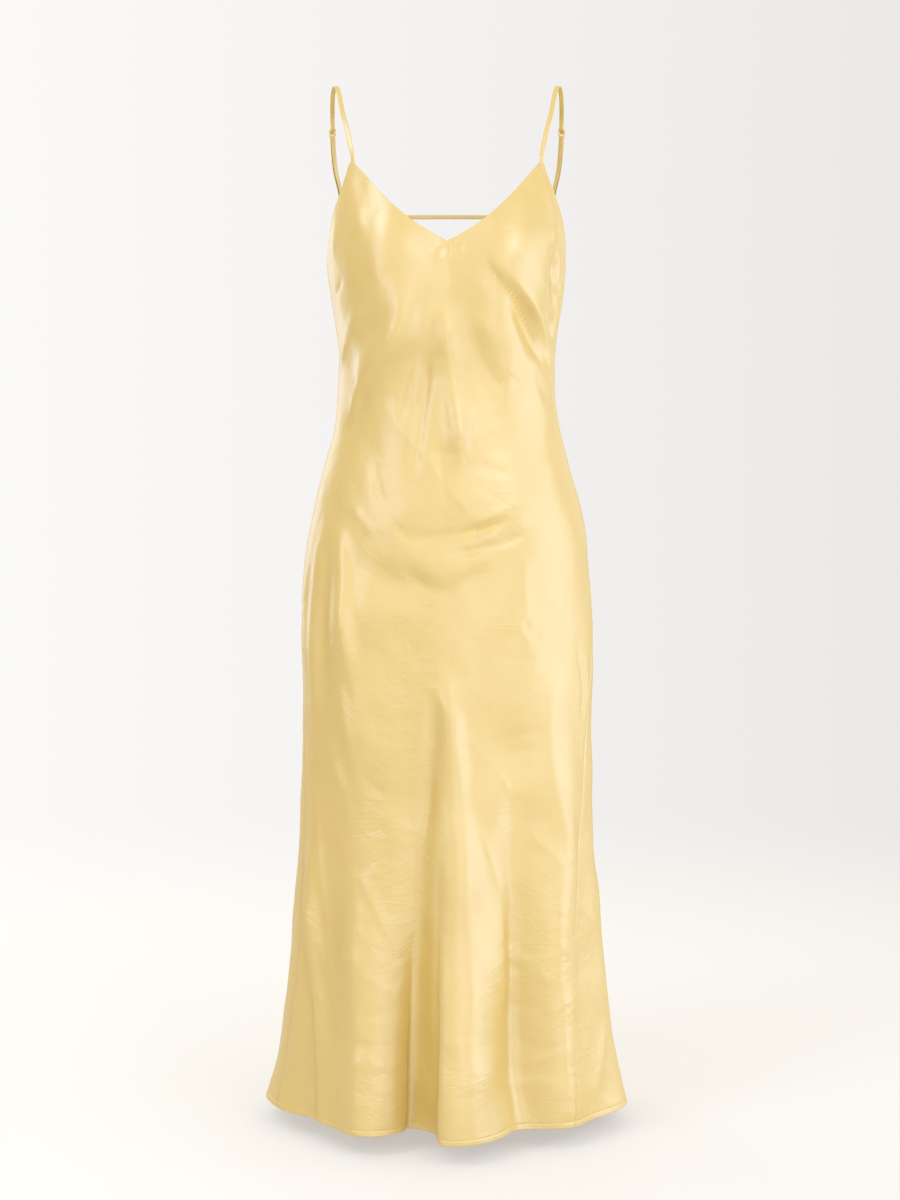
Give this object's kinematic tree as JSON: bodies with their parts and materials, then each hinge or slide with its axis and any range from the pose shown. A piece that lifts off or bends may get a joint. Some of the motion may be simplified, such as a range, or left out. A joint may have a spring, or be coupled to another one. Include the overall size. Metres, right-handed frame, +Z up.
{
  "type": "slip dress",
  "caption": "Midi slip dress in pale yellow satin, bias cut, with a V neck, thin adjustable straps, a strap across the open back and a flared hem.",
  "frame": {"origin": "where the shoulders carry the dress: midway between the undersides of the two shoulder straps at their crests", "axes": "+Z up the body, from hem to shoulders; -Y towards the front, with the V neck; +X towards the wearer's left"},
  "size_m": [0.4281, 0.3803, 1.1922],
  "materials": {
    "satin": "soft satin, glossy on the outside and duller inside",
    "satin_rouleau": "turned satin tube, pressed flat",
    "coated_metal": "smooth coating in the cloth's colour"
  },
  "bodies": {
    "root": {"front_panel": "satin", "back_panel": "satin", "strap_left": "satin_rouleau", "strap_right": "satin_rouleau", "back_strap": "satin_rouleau", "loop_left": "satin_rouleau", "loop_right": "satin_rouleau", "slider_left": "coated_metal", "slider_right": "coated_metal", "ring_left": "coated_metal", "ring_right": "coated_metal"}
  },
  "joints": []
}
